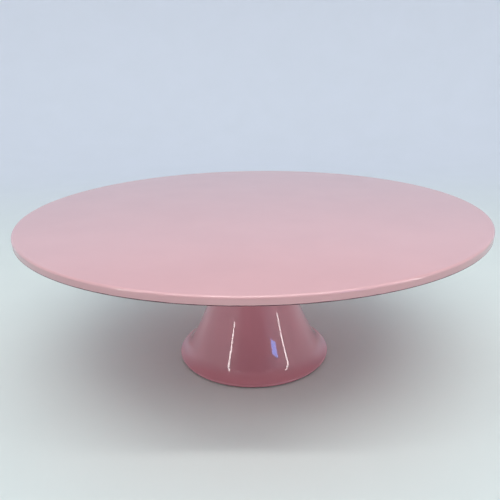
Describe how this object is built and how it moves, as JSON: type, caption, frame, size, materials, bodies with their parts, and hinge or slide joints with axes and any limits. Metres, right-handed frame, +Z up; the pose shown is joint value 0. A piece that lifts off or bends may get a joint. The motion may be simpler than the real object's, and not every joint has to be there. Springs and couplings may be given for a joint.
{
  "type": "cake turntable",
  "caption": "Round cake plate with a turned-down rim that spins on ball bearings in a trumpet-shaped pedestal.",
  "frame": {"origin": "on the axis of rotation, at the level of the table that the turntable stands on", "axes": "+Z up along the axis of rotation; X and Y are level and arbitrary, because the outside is round"},
  "size_m": [0.3, 0.3, 0.107],
  "materials": {
    "pink_paint": "gloss",
    "silicone": "matte",
    "aluminium": "satin",
    "zinc_plate": "satin",
    "turned_steel": "satin",
    "bearing_steel": "polished",
    "black_oxide": "satin",
    "seal_rubber": "matte",
    "nylon": "satin"
  },
  "bodies": {
    "base": {"pedestal": "pink_paint", "foot_ring": "silicone", "bearing_housing": "aluminium", "housing_screws": "zinc_plate", "housing_circlip": "black_oxide", "outer_spacer": "aluminium", "upper_bearing_outer_ring": "bearing_steel", "upper_bearing_top_seal": "seal_rubber", "upper_bearing_bottom_seal": "seal_rubber", "lower_bearing_outer_ring": "bearing_steel", "lower_bearing_top_seal": "seal_rubber", "lower_bearing_bottom_seal": "seal_rubber"},
    "turntable": {"plate": "pink_paint", "weld_studs": "zinc_plate", "hub": "aluminium", "stud_washers": "zinc_plate", "stud_nuts": "zinc_plate", "spindle": "turned_steel", "hub_screw": "zinc_plate", "inner_spacer": "aluminium", "spindle_washer": "zinc_plate", "spindle_nut": "zinc_plate", "spindle_nut_insert": "nylon", "upper_bearing_inner_ring": "bearing_steel", "lower_bearing_inner_ring": "bearing_steel"},
    "upper_cage": {"upper_bearing_cage": "nylon", "upper_bearing_ball_1": "bearing_steel", "upper_bearing_ball_2": "bearing_steel", "upper_bearing_ball_3": "bearing_steel", "upper_bearing_ball_4": "bearing_steel", "upper_bearing_ball_5": "bearing_steel", "upper_bearing_ball_6": "bearing_steel", "upper_bearing_ball_7": "bearing_steel", "upper_bearing_ball_8": "bearing_steel"},
    "lower_cage": {"lower_bearing_cage": "nylon", "lower_bearing_ball_1": "bearing_steel", "lower_bearing_ball_2": "bearing_steel", "lower_bearing_ball_3": "bearing_steel", "lower_bearing_ball_4": "bearing_steel", "lower_bearing_ball_5": "bearing_steel", "lower_bearing_ball_6": "bearing_steel", "lower_bearing_ball_7": "bearing_steel", "lower_bearing_ball_8": "bearing_steel"}
  },
  "joints": [
    {"name": "plate_spin", "type": "hinge", "parent": "base", "child": "turntable", "pos_m": [0, 0, 0.0697], "axis": [0, 0, 1], "continuous": true},
    {"name": "upper_cage_spin", "type": "hinge", "parent": "base", "child": "upper_cage", "pos_m": [0, 0, 0.0817], "axis": [0, 0, 1], "continuous": true},
    {"name": "lower_cage_spin", "type": "hinge", "parent": "base", "child": "lower_cage", "pos_m": [0, 0, 0.0577], "axis": [0, 0, 1], "continuous": true}
  ],
  "couplings": [
    {"joint": "upper_cage_spin", "follows": "plate_spin", "ratio": 0.38094},
    {"joint": "lower_cage_spin", "follows": "plate_spin", "ratio": 0.38094}
  ]
}
